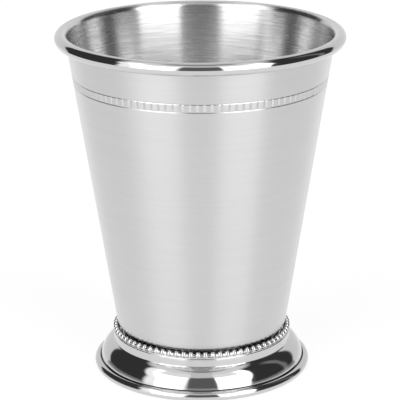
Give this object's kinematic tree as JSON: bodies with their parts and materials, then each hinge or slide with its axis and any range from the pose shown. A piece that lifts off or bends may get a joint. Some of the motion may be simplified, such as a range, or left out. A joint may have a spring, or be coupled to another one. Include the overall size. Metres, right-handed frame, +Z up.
{
  "type": "julep cup",
  "caption": "Tapered metal julep cup with a curled rim, a narrow scored band, a beaded joint and a flared hollow foot with a rolled edge.",
  "frame": {"origin": "middle of the circle on which the cup stands, at the level of the surface under it", "axes": "+Z up along the cup's axis, from the foot to the open rim; +X and +Y are any two square directions, because the cup is round"},
  "size_m": [0.0886, 0.0886, 0.108],
  "materials": {
    "satin_steel": "fine circumferential brushing inside and outside, with a polished rim",
    "polished_steel": "mirror polished"
  },
  "bodies": {
    "root": {"bowl": "satin_steel", "foot": "polished_steel", "beaded_wire": "polished_steel"}
  },
  "joints": []
}
